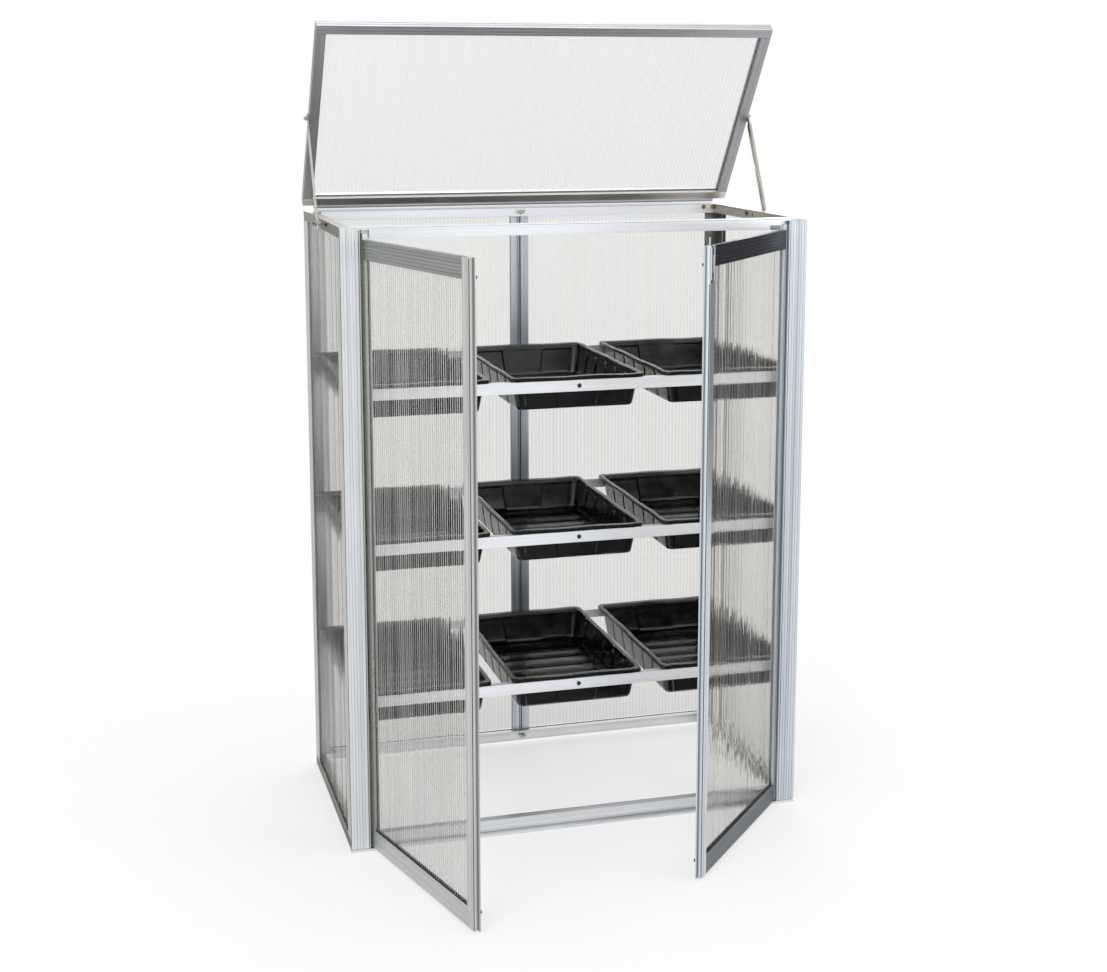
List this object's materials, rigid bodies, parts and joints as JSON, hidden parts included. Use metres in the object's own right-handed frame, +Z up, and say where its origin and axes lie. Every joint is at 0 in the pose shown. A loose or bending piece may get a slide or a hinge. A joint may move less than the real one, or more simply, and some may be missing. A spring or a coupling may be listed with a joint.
{
  "type": "mini greenhouse",
  "caption": "Tall free-standing mini greenhouse with an aluminium frame, twin-wall glazing, two front doors, a propped lid and shelves of seed trays.",
  "frame": {"origin": "middle of the width at the body's front face, on the ground", "axes": "+Z up, +Y from the front doors towards the rear wall, +X to the right seen from the front"},
  "size_m": [1.0856, 0.9847, 1.7896],
  "materials": {
    "pale_aluminium": "satin mill-finish extrusion, ribbed",
    "bright_aluminium": "bright satin extrusion",
    "grey_aluminium": "satin extrusion, grey where it faces away from the light",
    "dark_aluminium": null,
    "twin_wall_sheet": "clear twin-wall polycarbonate with upright ribs",
    "black_plastic": "thin thermoformed black plastic, satin gloss",
    "seal_rubber": "black rubber seal",
    "steel": "zinc plated"
  },
  "bodies": {
    "frame": {"post_front_left": "pale_aluminium", "post_front_right": "pale_aluminium", "post_rear_left": "pale_aluminium", "post_rear_right": "pale_aluminium", "hinge_channel_left": "grey_aluminium", "hinge_channel_right": "grey_aluminium", "rail_top_front": "bright_aluminium", "rail_top_rear": "bright_aluminium", "rail_top_left": "pale_aluminium", "rail_top_right": "pale_aluminium", "sill_front": "bright_aluminium", "rail_bottom_rear": "bright_aluminium", "rail_bottom_left": "pale_aluminium", "rail_bottom_right": "pale_aluminium", "post_rear_centre": "pale_aluminium", "middle_bolt_top": "steel", "middle_bolt_foot": "steel", "sheet_left": "twin_wall_sheet", "sheet_right": "twin_wall_sheet", "sheet_rear_left": "twin_wall_sheet", "sheet_rear_right": "twin_wall_sheet", "shelf_rail_front_low": "bright_aluminium", "shelf_rail_rear_low": "bright_aluminium", "shelf_rail_front_middle": "bright_aluminium", "shelf_rail_rear_middle": "bright_aluminium", "shelf_rail_front_top": "bright_aluminium", "shelf_rail_rear_top": "bright_aluminium"},
    "left_door": {"left_door_hinge_stile": "grey_aluminium", "left_door_free_stile": "grey_aluminium", "left_door_top_rail": "grey_aluminium", "left_door_bottom_rail": "grey_aluminium", "left_door_sheet": "twin_wall_sheet", "left_door_seal": "seal_rubber"},
    "right_door": {"right_door_hinge_stile": "grey_aluminium", "right_door_free_stile": "grey_aluminium", "right_door_top_rail": "dark_aluminium", "right_door_bottom_rail": "dark_aluminium", "right_door_sheet": "twin_wall_sheet", "right_door_seal": "seal_rubber"},
    "door_bolt": {"door_bolt": "steel"},
    "lid": {"lid_front_rail": "grey_aluminium", "lid_hinge_rail": "grey_aluminium", "lid_rail_left": "grey_aluminium", "lid_rail_right": "grey_aluminium", "lid_sheet": "twin_wall_sheet", "stay_pivot_bolt_left": "steel", "stay_pivot_bolt_right": "steel"},
    "left_stay": {"stay_left": "steel", "stay_foot_bolt_left": "steel"},
    "right_stay": {"stay_right": "steel", "stay_foot_bolt_right": "steel"},
    "tray_low_left": {"tray_low_left": "black_plastic"},
    "tray_low_centre": {"tray_low_centre": "black_plastic"},
    "tray_low_right": {"tray_low_right": "black_plastic"},
    "tray_middle_left": {"tray_middle_left": "black_plastic"},
    "tray_middle_centre": {"tray_middle_centre": "black_plastic"},
    "tray_middle_right": {"tray_middle_right": "black_plastic"},
    "tray_top_left": {"tray_top_left": "black_plastic"},
    "tray_top_centre": {"tray_top_centre": "black_plastic"},
    "tray_top_right": {"tray_top_right": "black_plastic"}
  },
  "joints": [
    {"name": "left_door_hinge", "type": "hinge", "parent": "frame", "child": "left_door", "pos_m": [-0.469, 0.006, 0.67], "axis": [0, 0, -1], "range_deg": [-74.3, 35.7]},
    {"name": "right_door_hinge", "type": "hinge", "parent": "frame", "child": "right_door", "pos_m": [0.469, 0.006, 0.67], "axis": [0, 0, 1], "range_deg": [-47.8, 62.2]},
    {"name": "door_bolt_slide", "type": "slide", "parent": "right_door", "child": "door_bolt", "axis": [0, 0, 1], "range_m": [-0.018, 0]},
    {"name": "lid_hinge", "type": "hinge", "parent": "frame", "child": "lid", "pos_m": [0, 0.531, 1.3747], "axis": [-1, 0, 0], "range_deg": [-54.3, 45.7]},
    {"name": "left_stay_pivot", "type": "hinge", "parent": "lid", "child": "left_stay", "pos_m": [-0.528, 0.38395, 1.57935], "axis": [1, 0, 0], "range_deg": [0, 63.7]},
    {"name": "right_stay_pivot", "type": "hinge", "parent": "lid", "child": "right_stay", "pos_m": [0.528, 0.38395, 1.57935], "axis": [1, 0, 0], "range_deg": [0, 63.7]},
    {"name": "tray_low_left_lift", "type": "slide", "parent": "frame", "child": "tray_low_left", "axis": [0, 0, 1], "range_m": [0, 0.1]},
    {"name": "tray_low_centre_lift", "type": "slide", "parent": "frame", "child": "tray_low_centre", "axis": [0, 0, 1], "range_m": [0, 0.1]},
    {"name": "tray_low_right_lift", "type": "slide", "parent": "frame", "child": "tray_low_right", "axis": [0, 0, 1], "range_m": [0, 0.1]},
    {"name": "tray_middle_left_lift", "type": "slide", "parent": "frame", "child": "tray_middle_left", "axis": [0, 0, 1], "range_m": [0, 0.1]},
    {"name": "tray_middle_centre_lift", "type": "slide", "parent": "frame", "child": "tray_middle_centre", "axis": [0, 0, 1], "range_m": [0, 0.1]},
    {"name": "tray_middle_right_lift", "type": "slide", "parent": "frame", "child": "tray_middle_right", "axis": [0, 0, 1], "range_m": [0, 0.1]},
    {"name": "tray_top_left_lift", "type": "slide", "parent": "frame", "child": "tray_top_left", "axis": [0, 0, 1], "range_m": [0, 0.1]},
    {"name": "tray_top_centre_lift", "type": "slide", "parent": "frame", "child": "tray_top_centre", "axis": [0, 0, 1], "range_m": [0, 0.1]},
    {"name": "tray_top_right_lift", "type": "slide", "parent": "frame", "child": "tray_top_right", "axis": [0, 0, 1], "range_m": [0, 0.1]}
  ]
}
